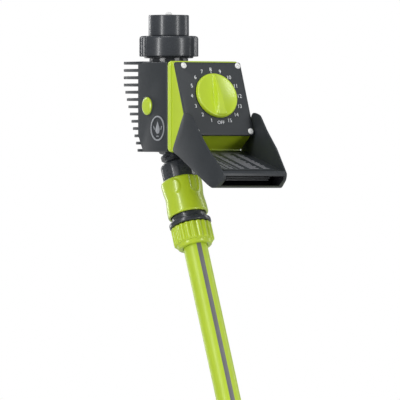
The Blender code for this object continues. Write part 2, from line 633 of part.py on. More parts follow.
inlet_stack()
valve()
rear_shell()
button()
badge()
battery_bay()
front_shell()
control_panel()
knob()
cover()
nose_grille()
nipple()
connector("connector_", OUTLET_FRAME)
hose()
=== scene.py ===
"""Looks of the drip irrigation timer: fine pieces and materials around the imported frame.

Lengths are millimetres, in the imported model's frame: +Z up, front towards -Y. The inlet's axis is
the Z axis. "Forward" and f mean a distance in front of it, so y = -f. v is a distance up the
panel's slope. MM turns a length into Blender's metres.
"""
import json
import math

import bmesh
import bpy
from mathutils import Matrix, Vector


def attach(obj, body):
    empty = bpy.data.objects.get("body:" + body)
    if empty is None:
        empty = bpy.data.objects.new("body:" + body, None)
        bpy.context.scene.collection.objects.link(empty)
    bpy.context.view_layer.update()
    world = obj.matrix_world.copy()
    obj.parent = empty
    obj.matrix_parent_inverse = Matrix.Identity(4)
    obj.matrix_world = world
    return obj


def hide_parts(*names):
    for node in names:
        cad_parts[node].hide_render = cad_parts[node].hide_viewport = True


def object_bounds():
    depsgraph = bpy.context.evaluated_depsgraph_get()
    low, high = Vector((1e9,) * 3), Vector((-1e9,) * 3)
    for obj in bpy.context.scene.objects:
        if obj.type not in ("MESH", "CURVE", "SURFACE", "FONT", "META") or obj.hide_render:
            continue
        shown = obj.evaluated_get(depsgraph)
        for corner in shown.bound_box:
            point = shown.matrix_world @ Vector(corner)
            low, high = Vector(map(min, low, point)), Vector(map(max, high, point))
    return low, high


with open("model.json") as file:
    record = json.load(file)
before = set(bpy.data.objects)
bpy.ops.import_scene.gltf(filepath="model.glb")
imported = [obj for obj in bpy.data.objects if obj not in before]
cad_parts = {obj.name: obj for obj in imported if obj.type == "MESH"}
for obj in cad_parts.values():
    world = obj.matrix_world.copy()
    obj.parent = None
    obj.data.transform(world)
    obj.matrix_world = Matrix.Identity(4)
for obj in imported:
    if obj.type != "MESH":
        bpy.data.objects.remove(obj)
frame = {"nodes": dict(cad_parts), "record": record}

CAD_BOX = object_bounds()
NODES = frame["nodes"]
MM = 0.001

TURN = math.tau

# The panel leans back from upright by TILT, and the knob stands a little off its centre
TILT = math.radians(20.2)
PANEL_CENTRE = Vector((0, -71.0, -70.7)) * MM
KNOB_RIGHT, KNOB_UP = 1.5, 2.2
# The outlet, the connector and the hose's first stretch share one axis, which leans forward
OUTLET_TILT = math.radians(22.0)
OUTLET_FOOT = Vector((0, -9.0, -115.0)) * MM
# The cover's two hinge pins
PIVOT = Vector((0, -74.4, -98.3)) * MM

IDENTITY = Matrix.Identity(4)
PANEL_FRAME = Matrix.Translation(PANEL_CENTRE) @ Matrix.Rotation(math.pi / 2 - TILT, 4, 'X')
KNOB_FRAME = PANEL_FRAME @ Matrix.Translation((KNOB_RIGHT * MM, KNOB_UP * MM, 0))
OUTLET_FRAME = Matrix.Translation(OUTLET_FOOT) @ Matrix.Rotation(-OUTLET_TILT, 4, 'X')
LEFTWARD = Matrix.Rotation(-math.pi / 2, 4, 'Y')
RIGHTWARD = Matrix.Rotation(math.pi / 2, 4, 'Y')
# Side outlines are drawn as (forward, z) and made solid along X
SIDE_FRAME = Matrix(((0, 0, 1, 0), (-1, 0, 0, 0), (0, 1, 0, 0), (0, 0, 0, 1)))
# A front outline is drawn as (x, z) and made solid forward
FRONT_FRAME = Matrix(((1, 0, 0, 0), (0, 0, -1, 0), (0, 1, 0, 0), (0, 0, 0, 1)))

COLLECTION = bpy.data.collections.new("looks")
bpy.context.scene.collection.children.link(COLLECTION)


# ---------------------------------------------------------------- materials

# How wide a moulded surface's patches of tone and gloss are, and how deep its grain is
TONE_PATCH, GLOSS_PATCH, GRAIN_DEPTH = 14, 3.5, 0.05
# The part of the noise's range over which tone and gloss change
TONE_LOW, TONE_HIGH = 0.3, 0.7
GLOSS_LOW, GLOSS_HIGH = 0.35, 0.75
COAT_ROUGHNESS = 0.15


def moulded(name, colour, roughness, grain_size, grain, vary=0.06, metallic=0.0, coat=0.0,
            scuff=0.08):
    """A moulded surface in object space: slight tone drift, uneven gloss and a fine grain.

    vary is the tone's drift up and down, and scuff is how much rougher its dull patches are.
    """
    mat = bpy.data.materials.new(name)
    mat.use_nodes = True
    nodes, links = mat.node_tree.nodes, mat.node_tree.links
    shader = nodes["Principled BSDF"]
    shader.inputs["Metallic"].default_value = metallic
    shader.inputs["Coat Weight"].default_value = coat
    shader.inputs["Coat Roughness"].default_value = COAT_ROUGHNESS
    place = nodes.new("ShaderNodeTexCoord")

    def noise(size, detail):
        node = nodes.new("ShaderNodeTexNoise")
        node.inputs["Scale"].default_value = 1 / (size * MM)
        node.inputs["Detail"].default_value = detail
        links.new(place.outputs["Object"], node.inputs["Vector"])
        return node.outputs["Fac"]

    tone = nodes.new("ShaderNodeValToRGB")
    dark, pale = tone.color_ramp.elements
    dark.position = TONE_LOW
    dark.color = (*(c * (1 - vary) for c in colour), 1)
    pale.position = TONE_HIGH
    pale.color = (*(min(1.0, c * (1 + vary)) for c in colour), 1)
    links.new(noise(TONE_PATCH, 3), tone.inputs["Fac"])
    links.new(tone.outputs["Color"], shader.inputs["Base Color"])
    gloss = nodes.new("ShaderNodeMapRange")
    gloss.inputs["From Min"].default_value = GLOSS_LOW
    gloss.inputs["From Max"].default_value = GLOSS_HIGH
    gloss.inputs["To Min"].default_value = roughness - scuff / 2
    gloss.inputs["To Max"].default_value = roughness + scuff
    links.new(noise(GLOSS_PATCH, 6), gloss.inputs["Value"])
    links.new(gloss.outputs["Result"], shader.inputs["Roughness"])
    bump = nodes.new("ShaderNodeBump")
    bump.inputs["Strength"].default_value = grain
    bump.inputs["Distance"].default_value = GRAIN_DEPTH * MM
    links.new(noise(grain_size, 2), bump.inputs["Height"])
    links.new(bump.outputs["Normal"], shader.inputs["Normal"])
    return mat


# Each finish: colour, roughness, grain size, grain strength, and what differs from plain plastic
FINISHES = {
    "charcoal_plastic": ((0.026, 0.030, 0.034), 0.42, 0.3, 0.16, {}),
    "dark_fitting": ((0.040, 0.044, 0.050), 0.27, 0.5, 0.02, {"coat": 0.15, "scuff": 0.04}),
    "lime_plastic": ((0.50, 0.655, 0.026), 0.30, 0.5, 0.015,
                     {"vary": 0.012, "coat": 0.4, "scuff": 0.03}),
    "lime_hose": ((0.49, 0.65, 0.035), 0.38, 0.6, 0.03, {"vary": 0.02}),
    "white_plastic": ((0.82, 0.82, 0.80), 0.32, 0.4, 0.06, {"vary": 0.02}),
    "print_grey": ((0.28, 0.29, 0.31), 0.45, 0.3, 0.1, {}),
    "black_rubber": ((0.018, 0.018, 0.020), 0.6, 0.3, 0.3, {}),
    "black_plastic": ((0.012, 0.012, 0.014), 0.35, 0.3, 0.12, {}),
    "steel": ((0.62, 0.62, 0.63), 0.28, 0.5, 0.08, {"vary": 0.03, "metallic": 1.0}),
    "copper_winding": ((0.55, 0.25, 0.12), 0.35, 0.5, 0.3, {"metallic": 0.8}),
    "circuit_board": ((0.03, 0.20, 0.07), 0.4, 0.8, 0.1, {}),
    "hose_stripe": ((0.15, 0.145, 0.16), 0.40, 0.6, 0.10, {}),
    # The grille's ribs are charcoal plastic drawn in a lighter grey: a painted highlight along them
    "rib_highlight_grey": ((0.10, 0.105, 0.11), 0.4, 0.3, 0.1, {}),
    "panel_ink": ((0.80, 0.81, 0.83), 0.5, 0.2, 0.1, {"vary": 0.02}),
    "chart_ink": ((0.34, 0.34, 0.36), 0.55, 0.2, 0.1, {}),
}
MATERIALS = {name: moulded(name, *finish, **extra) for name, (*finish, extra) in FINISHES.items()}

for part in frame["record"]["subparts"]:
    for slot in NODES[part["node"]].material_slots:
        slot.material = MATERIALS[part["material_slot"]]


# ---------------------------------------------------------------- mesh helpers

def shift(x, y, z):
    """A move by a distance along each axis."""
    return Matrix.Translation(Vector((x, y, z)) * MM)


def finish_piece(mesh, name, where, body, slot_name, stands_for=(), finish=None, smooth=35):
    """Makes the object, gives it its finish and rides it on its body.

    The finish is the slot's own unless another is named. Edges sharper than smooth stay sharp.
    """
    obj = bpy.data.objects.new(name, mesh)
    COLLECTION.objects.link(obj)
    obj.matrix_world = where
    if not mesh.materials:
        mesh.materials.append(MATERIALS[finish or slot_name])
    mesh.shade_smooth()
    mesh.set_sharp_from_angle(angle=math.radians(smooth))
    bpy.context.view_layer.update()
    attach(obj, body)
    if stands_for:
        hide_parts(*stands_for)
    return obj


def fillet(points, radius, closed=True, steps=4):
    """Rounds each corner of an outline, by no more than its edges allow."""
    made = []
    count = len(points)
    for i, corner in enumerate(points):
        if not closed and i in (0, count - 1):
            made.append(Vector(corner))
            continue
        here = Vector(corner)
        before = Vector(points[i - 1]) - here
        after = Vector(points[(i + 1) % count]) - here
        reach = min(radius, 0.45 * before.length, 0.45 * after.length)
        start = here + before.normalized() * reach
        end = here + after.normalized() * reach
        for k in range(steps + 1):
            t = k / steps
            made.append(start * (1 - t) ** 2 + here * 2 * t * (1 - t) + end * t * t)
    return made


def dense(points, longest, closed=True):
    """Splits the edges of an outline that are longer than longest."""
    made = []
    last = len(points) if closed else len(points) - 1
    for i in range(last):
        a, b = points[i], points[(i + 1) % len(points)]
        parts = max(1, math.ceil((b - a).length / longest))
        made += [a.lerp(b, k / parts) for k in range(parts)]
    if not closed:
        made.append(points[-1])
    return made


def lathe(name, profile, where, body, slot_name, stands_for=(), segments=96, soft=0.4, closed=True,
          step=None, shape=None):
    """A turned piece of (radius, height) points, with corners rounded by soft.

    shape(r, angle, z) may push a point in or out, on rows no further apart than step.
    """
    line = fillet(profile, soft, closed)
    if step:
        line = dense(line, step, closed)
    bm = bmesh.new()
    rows = []
    for i in range(segments):
        a = TURN * i / segments
        row = []
        for r, z in line:
            if shape:
                r = shape(r, a, z)
            row.append(bm.verts.new(Vector((r * math.cos(a), r * math.sin(a), z)) * MM))
        rows.append(row)
    count = len(line)
    for i in range(segments):
        here, there = rows[i], rows[(i + 1) % segments]
        for k in range(count if closed else count - 1):
            n = (k + 1) % count
            bm.faces.new((here[k], there[k], there[n], here[n]))
    bmesh.ops.remove_doubles(bm, verts=bm.verts, dist=0.002 * MM)
    bmesh.ops.recalc_face_normals(bm, faces=bm.faces)
    mesh = bpy.data.meshes.new(name)
    bm.to_mesh(mesh)
    bm.free()
    return finish_piece(mesh, name, where, body, slot_name, stands_for)


def relief(name, radius, height, foot, where, body, slot_name, stands_for=(), rings=40,
           segments=96):
    """A round button or head: height(x, y) over a disc, a straight skirt to foot and a flat back."""
    bm = bmesh.new()
    angles = [TURN * i / segments for i in range(segments)]
    grid = []
    for k in range(1, rings + 1):
        r = radius * k / rings
        spots = [(r * math.cos(a), r * math.sin(a)) for a in angles]
        grid.append([bm.verts.new(Vector((x, y, height(x, y))) * MM) for x, y in spots])
    skirt = [bm.verts.new(Vector((radius * math.cos(a), radius * math.sin(a), foot)) * MM)
             for a in angles]
    grid.append(skirt)
    centre = bm.verts.new(Vector((0, 0, height(0, 0))) * MM)
    for i in range(segments):
        n = (i + 1) % segments
        bm.faces.new((centre, grid[0][i], grid[0][n]))
        for inner, outer in zip(grid, grid[1:]):
            bm.faces.new((inner[i], outer[i], outer[n], inner[n]))
    bm.faces.new(list(reversed(skirt)))
    bmesh.ops.recalc_face_normals(bm, faces=bm.faces)
    mesh = bpy.data.meshes.new(name)
    bm.to_mesh(mesh)
    bm.free()
    return finish_piece(mesh, name, where, body, slot_name, stands_for)


# An edge is level when its ends differ in height by less than this
LEVEL_EDGE = 0.01


def solid(points, low, high, bevel=0.0, where=SIDE_FRAME, steps=3, corner=0.0):
    """An outline made solid from low to high along its own Z, as a mesh in the model's frame.

    bevel rounds its edges. corner rounds the outline first, and then bevel leaves the long
    corner edges alone.
    """
    if corner:
        points = fillet(points, corner, True, 5)
    bm = bmesh.new()
    foot = [bm.verts.new((x * MM, y * MM, low * MM)) for x, y in points]
    face = bm.faces.new(foot)
    lifted = bmesh.ops.extrude_face_region(bm, geom=[face])
    top = [v for v in lifted["geom"] if isinstance(v, bmesh.types.BMVert)]
    bmesh.ops.translate(bm, verts=top, vec=(0, 0, (high - low) * MM))
    bmesh.ops.recalc_face_normals(bm, faces=bm.faces)
    if bevel:
        edges = bm.edges[:]
        if corner:
            edges = [e for e in edges
                     if abs(e.verts[0].co.z - e.verts[1].co.z) < LEVEL_EDGE * MM]
        bmesh.ops.bevel(bm, geom=edges, offset=bevel * MM, segments=steps, affect='EDGES',
                        profile=0.5, clamp_overlap=True)
    bm.transform(where)
    bmesh.ops.recalc_face_normals(bm, faces=bm.faces)
    mesh = bpy.data.meshes.new("solid")
    bm.to_mesh(mesh)
    bm.free()
    return mesh


def drum(radius, low, high, where, segments=64):
    """A plain round solid for joining or cutting."""
    points = [(radius * math.cos(TURN * i / segments), radius * math.sin(TURN * i / segments))
              for i in range(segments)]
    return solid(points, low, high, 0, where)


def carve(base, operations, bevel=0.0, steps=2, angle=30):
    """Joins and cuts meshes in order, then rounds the edges that turn by more than angle.

    operations is a list of ('UNION', 'DIFFERENCE' or 'INTERSECT', mesh).
    """
    obj = bpy.data.objects.new("carved", base)
    bpy.context.scene.collection.objects.link(obj)
    helpers = []
    for how, mesh in operations:
        other = bpy.data.objects.new("helper", mesh)
        bpy.context.scene.collection.objects.link(other)
        helpers.append(other)
        mod = obj.modifiers.new("carve", 'BOOLEAN')
        mod.object = other
        mod.operation = how
        mod.solver = 'EXACT'
    if bevel:
        mod = obj.modifiers.new("edge", 'BEVEL')
        mod.width = bevel * MM
        mod.segments = steps
        mod.limit_method = 'ANGLE'
        mod.angle_limit = math.radians(angle)
    bpy.context.view_layer.update()
    graph = bpy.context.evaluated_depsgraph_get()
    mesh = bpy.data.meshes.new_from_object(obj.evaluated_get(graph))
    mesh.materials.clear()
    for old in [obj] + helpers:
        bpy.data.objects.remove(old)
    return mesh


def merge(meshes):
    """Several separate shapes as one mesh."""
    bm = bmesh.new()
    for mesh in meshes:
        bm.from_mesh(mesh)
    made = bpy.data.meshes.new("merged")
    bm.to_mesh(made)
    bm.free()
    return made


def panel_point(n, v):
    """The (forward, z) place at height v up the panel's slope and n out of its face."""
    f = -PANEL_CENTRE.y / MM + n * math.cos(TILT) - v * math.sin(TILT)
    z = PANEL_CENTRE.z / MM + n * math.sin(TILT) + v * math.cos(TILT)
    return f, z


def box_points(half_x, half_y, x=0.0, y=0.0):
    """A rectangle's outline, by its half sizes and its centre."""
    return [(x - half_x, y - half_y), (x + half_x, y - half_y),
            (x + half_x, y + half_y), (x - half_x, y + half_y)]


def ease(low, high, value):
    """0 below low, 1 above high, and a smooth rise between."""
    t = max(0.0, min(1.0, (value - low) / (high - low)))
    return t * t * (3 - 2 * t)


# ---------------------------------------------------------------- inlet

TAP_BORE_R = 13.3
THREAD_DEPTH, THREAD_PITCH = 0.75, 1.81
THREAD_TOP, THREAD_BOTTOM, THREAD_FADE = -0.8, -13.0, 1.5


def thread(crest, pitch, top, bottom):
    """A helical thread for a bore: it pushes the wall in by crest, and fades out at both ends."""
    def push(r, a, z):
        fade = ease(bottom, bottom + THREAD_FADE, z) * (1 - ease(top - THREAD_FADE, top, z))
        if r > TAP_BORE_R + crest or fade == 0:
            return r
        wave = 0.5 + 0.5 * math.cos(TURN * z / pitch - a)
        return r - crest * fade * wave
    return push


# Where the union nut's smooth faces are centred, and its grooves' spacing, half widths and depth
NUT_SMOOTH = math.radians(-125.3)
NUT_GROOVE_STEP = math.radians(18)
NUT_GROOVE_FLOOR, NUT_GROOVE_EDGE = 0.045, 0.105
NUT_GROOVE_DEPTH = 1.5
NUT_SKIRT_R, NUT_FACE_R = 20.7, 22.5


def lobes(r, a, z):
    """The union nut's two broad smooth faces, with five finger grooves between them each side."""
    if r < NUT_SKIRT_R:
        return r
    off = (a - NUT_SMOOTH - TURN / 4 + math.pi / 2) % math.pi - math.pi / 2
    near = max(-2, min(2, round(off / NUT_GROOVE_STEP))) * NUT_GROOVE_STEP
    groove = 1 - ease(NUT_GROOVE_FLOOR, NUT_GROOVE_EDGE, abs(off - near))
    return r - NUT_GROOVE_DEPTH * groove * ease(NUT_SKIRT_R, NUT_FACE_R, r)


lathe("tap_adapter_fine", [(TAP_BORE_R, 0), (16.9, 0), (17.0, -17.3), (16.1, -17.3),
                           (16.1, -27.0), (9.5, -27.0), (9.5, -15.5), (TAP_BORE_R, -15.5)],
      IDENTITY, "timer_body", "dark_fitting", ["tap_adapter"], 128, 0.9, step=0.35,
      shape=thread(THREAD_DEPTH, THREAD_PITCH, THREAD_TOP, THREAD_BOTTOM))
lathe("adapter_washer_fine", [(9.8, -13.2), (12.4, -13.2), (12.4, -15.2), (9.8, -15.2)], IDENTITY,
      "timer_body", "black_rubber", ["adapter_washer"], 64, 0.7)

SCREEN_TOP, SCREEN_FOOT = 0.5, -11.5
SCREEN_RIBS, SCREEN_RING_PITCH = 24, 1.2
SCREEN_RELIEF, SCREEN_INSET = 0.28, 0.1


def screen_ribs(r, a, z):
    """Upright ribs and cross rings that stand for the filter's moulded mesh."""
    if z > SCREEN_TOP or z < SCREEN_FOOT:
        return r
    rib, ring = math.cos(SCREEN_RIBS * a), math.cos(TURN * z / SCREEN_RING_PITCH)
    return r - SCREEN_RELIEF * max(rib, ring) - SCREEN_INSET


lathe("filter_screen_fine", [(0.0, 2.7), (1.6, 2.3), (2.7, 1.2), (3.1, -0.3), (7.4, -12.0),
                             (13.0, -12.0), (13.0, -12.9), (6.8, -12.9), (2.2, -0.6), (1.5, 0.9),
                             (0.0, 1.6)],
      IDENTITY, "timer_body", "white_plastic", ["filter_screen"], 96, 0.5, closed=False, step=0.3,
      shape=screen_ribs)
lathe("inlet_nut_fine", [(16.5, -17.6), (22.4, -17.6), (24.2, -18.2), (24.85, -19.8),
                         (24.85, -34.8), (20.6, -34.8), (20.6, -36.2), (16.5, -36.2)],
      IDENTITY, "inlet_nut", "dark_fitting", ["inlet_nut"], 256, 0.6, step=1.5, shape=lobes)

# ---------------------------------------------------------------- rear shell

SHELL_HALF_X = 33.3
SHELL_TOP, SHELL_BOTTOM = -40, -115
SHELL_SIDE = [(3.5, SHELL_TOP), (48.5, SHELL_TOP), (48.5, SHELL_BOTTOM), (11.5, SHELL_BOTTOM),
              (9.6, -112), (3.5, -101)]
SHELL_CAVITY = [(5.9, -42.4), (60, -42.4), (60, -112.6), (13.2, -112.6), (5.9, -100.4)]
CAVITY_HALF_X = 31.1
# The top FIN_FLAT fins end level, and the ones below step forward along the rear slope
FINS, FIN_FLAT = 13, 4
FIN_PITCH, FIN_T = 6.1, 2.1
FIN_ROOT, FIN_TIP = 9.0, -18.4
FIN_SLOPE = math.radians(21.3)
# The boss round the inlet's neck and the elbow round the outlet, with their bores
BOSS_R, BOSS_BORE_R = 18.4, 15.9
ELBOW_R, ELBOW_BORE_R, OUTLET_BORE_R = 15.8, 13.4, 9.9
# Trims a solid just short of a face that it would otherwise lie in
SHY = 0.02
BUTTON_F, BUTTON_Z = 19.0, -76.7
BUTTON_R, BUTTON_BORE_R, BUTTON_FOOT = 7.35, 7.75, -2.4
BADGE_F, BADGE_Z = 35.2, -95.4
LEFT_BUTTON = shift(-SHELL_HALF_X, -BUTTON_F, BUTTON_Z) @ LEFTWARD
LEFT_BADGE = shift(-SHELL_HALF_X, -BADGE_F, BADGE_Z) @ LEFTWARD


def fin_mesh(number):
    """One fin of the comb down the rear, counted from the top, as a plate the casing's width."""
    z = SHELL_TOP - FIN_T / 2 + 0.6 - number * FIN_PITCH
    tip = FIN_TIP + max(0, number - FIN_FLAT + 1) * FIN_PITCH * math.tan(FIN_SLOPE)
    half = FIN_T / 2 + 0.15
    points = [(FIN_ROOT, z + half), (tip, z + half), (tip, z - half), (FIN_ROOT, z - half)]
    return solid(points, -SHELL_HALF_X, SHELL_HALF_X, 0.45)


def rear_shell():
    """The casing: a box with fins, the inlet's boss and the outlet's elbow, hollowed out."""
    steps = [('UNION', fin_mesh(number)) for number in range(FINS)]
    steps.append(('UNION', drum(BOSS_R, -96, SHELL_TOP - SHY, IDENTITY, 96)))
    below = solid(box_points(60, 60), -160, SHELL_BOTTOM + SHY, where=IDENTITY)
    steps.append(('UNION', carve(drum(ELBOW_R, 0.8, 30, OUTLET_FRAME, 96),
                                 [('DIFFERENCE', below)])))
    for cutter in (solid(SHELL_CAVITY, -CAVITY_HALF_X, CAVITY_HALF_X),
                   drum(BOSS_BORE_R, -93, -38, IDENTITY),
                   drum(ELBOW_BORE_R, 2.3, 36, OUTLET_FRAME),
                   drum(OUTLET_BORE_R, -12, 20, OUTLET_FRAME),
                   drum(BUTTON_BORE_R, -5, 5, LEFT_BUTTON)):
        steps.append(('DIFFERENCE', cutter))
    mesh = carve(solid(SHELL_SIDE, -SHELL_HALF_X, SHELL_HALF_X, 1.1, steps=4), steps)
    finish_piece(mesh, "rear_shell_fine", IDENTITY, "timer_body", "charcoal_plastic",
                 ["rear_shell"], smooth=30)


def button_top(x, y):
    """A slightly domed face with a rounded rim."""
    r = math.hypot(x, y)
    return 1.95 - 0.9 * ease(5.6, BUTTON_R, r) - 0.15 * r ** 2 / 30


rear_shell()
lathe("button_collar", [(7.55, 0.35), (8.7, 0.35), (8.9, -0.4), (7.55, -0.4)], LEFT_BUTTON,
      "timer_body", "charcoal_plastic", segments=64, soft=0.25)
relief("side_button_fine", BUTTON_R, button_top, BUTTON_FOOT, LEFT_BUTTON, "side_button",
       "lime_plastic", ["side_button"])

RING_R, RING_BORE_R = 10.5, 9.2
DROP_R, DROP_TIP, DROP_CENTRE = 3.1, 5.6, -1.4
DROP_START, DROP_SWEEP, DROP_STEPS = 25, 230, 20
# Each spray line: its centre and its lean
SPRAY = ((-5.6, 0.4, 0.5), (5.6, 0.4, -0.5), (0, -6.6, 1.5708))


def badge():
    """A raised ring round a plain water drop and three spray lines."""
    ring = carve(drum(RING_R, -0.1, 0.7, LEFT_BADGE, 96),
                 [('DIFFERENCE', drum(RING_BORE_R, -1, 2, LEFT_BADGE, 96))], 0.15)
    angles = [math.radians(DROP_START - DROP_SWEEP * i / DROP_STEPS) for i in range(DROP_STEPS + 1)]
    drop = [(0, DROP_TIP)] + [(DROP_R * math.cos(a), DROP_CENTRE + DROP_R * math.sin(a))
                              for a in angles]
    # The motif stands upright on the shell's side: its up is the model's +Z
    upright = LEFT_BADGE @ Matrix.Rotation(-math.pi / 2, 4, 'Z')
    mark = [solid(drop, -0.1, 0.55, 0.1, upright)]
    for x, y, lean in SPRAY:
        spoke = upright @ shift(x, y, 0) @ Matrix.Rotation(lean, 4, 'Z')
        mark.append(solid(box_points(0.45, 1.7), -0.1, 0.5, 0.1, spoke))
    finish_piece(merge([ring] + mark), "side_badge_fine", IDENTITY, "timer_body", "print_grey",
                 ["side_badge"])


badge()

DOOR_OUTLINE = [(23.9, -114.0), (46.2, -114.0), (46.2, -76.9), (23.9, -76.9)]
DOOR_INNER_X, DOOR_OUTER_X = 34.7, 36.5
DOOR_SCREW_FS, DOOR_SCREW_Z, DOOR_SCREW_BORE_R = (28.0, 42.0), -80.4, 1.4
DOOR_GRIP_F, DOOR_GRIP_ZS = (29, 41), (-104, -106.2, -108.4)


def battery_door():
    """The door on the right side, with two screw holes and three grip bars."""
    slab = solid(DOOR_OUTLINE, DOOR_INNER_X, DOOR_OUTER_X, 0.5, corner=2.2)
    cuts = [('DIFFERENCE', drum(DOOR_SCREW_BORE_R, -8, 4,
                                shift(DOOR_OUTER_X, -f, DOOR_SCREW_Z) @ RIGHTWARD, 24))
            for f in DOOR_SCREW_FS]
    rear, front = DOOR_GRIP_F
    grips = [('UNION', solid([(rear, z), (front, z), (front, z - 1.0), (rear, z - 1.0)],
                             DOOR_OUTER_X - 0.4, DOOR_OUTER_X + 0.5, 0.3))
             for z in DOOR_GRIP_ZS]
    finish_piece(carve(slab, cuts + grips), "battery_door_fine", IDENTITY, "timer_body",
                 "charcoal_plastic", ["battery_door"])


battery_door()

SCREW_HEAD_R = 2.6
# A screw's cross recess: its depth, half width and half length, each from full depth to none
CROSS_DEPTH, CROSS_WIDTH, CROSS_LENGTH = 0.55, (0.22, 0.42), (1.25, 1.6)


def screw_head(name, lift, where, stands_for, slot_name):
    """A domed head with a cross recess."""
    def top(x, y):
        dome = lift * (1 - 0.75 * (math.hypot(x, y) / SCREW_HEAD_R) ** 2.6)
        across = min(abs(x), abs(y))
        along = max(abs(x), abs(y))
        return dome - CROSS_DEPTH * (1 - ease(*CROSS_WIDTH, across)) * (1 - ease(*CROSS_LENGTH, along))
    relief(name, SCREW_HEAD_R, top, 0.0, where, "timer_body", slot_name, stands_for, 36, 72)


for number, f in enumerate(DOOR_SCREW_FS, 1):
    screw_head("door_screw_head_%d" % number, 1.35, shift(36.8, -f, DOOR_SCREW_Z) @ RIGHTWARD,
               ["door_screw_%d" % number], "steel")

# ---------------------------------------------------------------- front shell, panel and dial

PANEL_HALF_X, PANEL_HALF_V, PANEL_T = 32.7, 32.6, 2.4
PANEL_GAP = 0.3
SCREW_XS, SCREW_V = (-24.5, 29.0), 29.2
SCREW_BORE_R, SPINDLE_BORE_R = 1.5, 4.7
HINGE_BOSS_R, HINGE_BORE_R = 3.4, 1.95
# The bezel is a wedge behind the panel, joined to a rounded frame at the casing's front
WEDGE_REAR, WEDGE_HALF_X, WEDGE_HOLLOW_HALF_X = 51.5, 32.3, 30.3
BEAD_HALF_X, BEAD_HALF_Z, BEAD_Z = 33.9, 38.05, -77.35
BEAD_REAR, BEAD_FRONT, BEAD_ROUND = 49.8, 55.0, 2.1

def screw_frames(lift=0.0):
    """The four panel screws' places, top row first."""
    return [PANEL_FRAME @ shift(x, v, lift) for v in (SCREW_V, -SCREW_V) for x in SCREW_XS]


def front_shell():
    """The lime bezel, with its hollow, its two hinge bosses and its bores."""
    back = -PANEL_T - PANEL_GAP
    wedge = [(WEDGE_REAR, -39.4), (54.6, -39.4), panel_point(back, PANEL_HALF_V - 0.9),
             panel_point(back, -PANEL_HALF_V + 2.2), (62.6, -112.1), (60.0, -114.4),
             (WEDGE_REAR, -114.6)]
    hollow = [(45, -41.6), (54.0, -41.6), panel_point(back - 2.0, PANEL_HALF_V - 3.2),
              panel_point(back - 2.0, -PANEL_HALF_V + 3.2), (59.6, -110.4), (45, -112.4)]
    steps = [('UNION', solid(wedge, -WEDGE_HALF_X, WEDGE_HALF_X, 0.7, steps=4)),
             ('DIFFERENCE', solid(hollow, -WEDGE_HOLLOW_HALF_X, WEDGE_HOLLOW_HALF_X)),
             ('DIFFERENCE', drum(SPINDLE_BORE_R, -12, 4, KNOB_FRAME, 32))]
    for sideways in (LEFTWARD, RIGHTWARD):
        hinge = Matrix.Translation(PIVOT) @ sideways
        steps.append(('UNION', drum(HINGE_BOSS_R, 27.4, 32.2, hinge, 32)))
        steps.append(('DIFFERENCE', drum(HINGE_BORE_R, 29.0, 34, hinge, 32)))
    for spot in screw_frames():
        steps.append(('DIFFERENCE', drum(SCREW_BORE_R, -4.6, 3, spot, 24)))
    bead = solid(box_points(BEAD_HALF_X, BEAD_HALF_Z, 0, BEAD_Z), BEAD_REAR, BEAD_FRONT,
                 BEAD_ROUND, FRONT_FRAME, 5, corner=4.0)
    finish_piece(carve(bead, steps), "front_shell_fine", IDENTITY, "timer_body", "lime_plastic",
                 ["front_shell"])


def control_panel():
    """The sloping face, with the dial spindle's bore and four screw holes."""
    plate = solid(box_points(PANEL_HALF_X, PANEL_HALF_V), -PANEL_T, 0, 0.9, PANEL_FRAME, 4,
                  corner=2.0)
    steps = [('DIFFERENCE', drum(SPINDLE_BORE_R, -8, 4, KNOB_FRAME, 48))]
    for spot in screw_frames():
        steps.append(('DIFFERENCE', drum(SCREW_BORE_R, -8, 3, spot, 24)))
    finish_piece(carve(plate, steps), "control_panel_fine", IDENTITY, "timer_body",
                 "charcoal_plastic", ["control_panel"])


front_shell()
control_panel()
for number, where in enumerate(screw_frames(0.3), 1):
    screw_head("panel_screw_head_%d" % number, 1.3, where, ["panel_screw_%d" % number],
               "white_plastic")

NUMERALS = 16
NUMERAL_R, NUMERAL_SIZE, OFF_SCALE = 23.5, 4.6, 0.88
INK_T, INK_SINK = 0.12, 0.02
POINTER_HALF_X, POINTER_HALF_V, POINTER_V = 0.28, 0.6, 21.2


def numerals():
    """The dial's printing: OFF at the bottom, then 1 to 15 clockwise."""
    shapes = []
    for number in range(NUMERALS):
        a = -math.pi / 2 - TURN * number / NUMERALS
        curve = bpy.data.curves.new("numeral", 'FONT')
        curve.body = str(number) if number else "OFF"
        curve.size = NUMERAL_SIZE * MM * (1.0 if number else OFF_SCALE)
        curve.align_x = 'CENTER'
        curve.align_y = 'CENTER'
        curve.extrude = INK_T / 2 * MM
        curve.resolution_u = 4
        text = bpy.data.objects.new("numeral", curve)
        bpy.context.scene.collection.objects.link(text)
        bpy.context.view_layer.update()
        graph = bpy.context.evaluated_depsgraph_get()
        mesh = bpy.data.meshes.new_from_object(text.evaluated_get(graph))
        bpy.data.objects.remove(text)
        mesh.transform(KNOB_FRAME @ shift(NUMERAL_R * math.cos(a), NUMERAL_R * math.sin(a),
                                          INK_T / 2 - INK_SINK))
        shapes.append(mesh)
    # A short pointer line above the knob, under the 8
    shapes.append(solid(box_points(POINTER_HALF_X, POINTER_HALF_V, 0, POINTER_V), -INK_SINK,
                        INK_T - INK_SINK, 0, KNOB_FRAME))
    finish_piece(merge(shapes), "panel_numerals", IDENTITY, "timer_body", "white_plastic",
                 finish="panel_ink")


numerals()

KNOB_R, KNOB_FOOT = 19.5, 0.6
BOWL_R, BOWL_RIM, BOWL_DEPTH = 17.8, 3.45, 1.7
RIM_INNER_R, RIM_OUTER_R, RIM_DROP = 18.3, KNOB_R + 0.3, 2.0
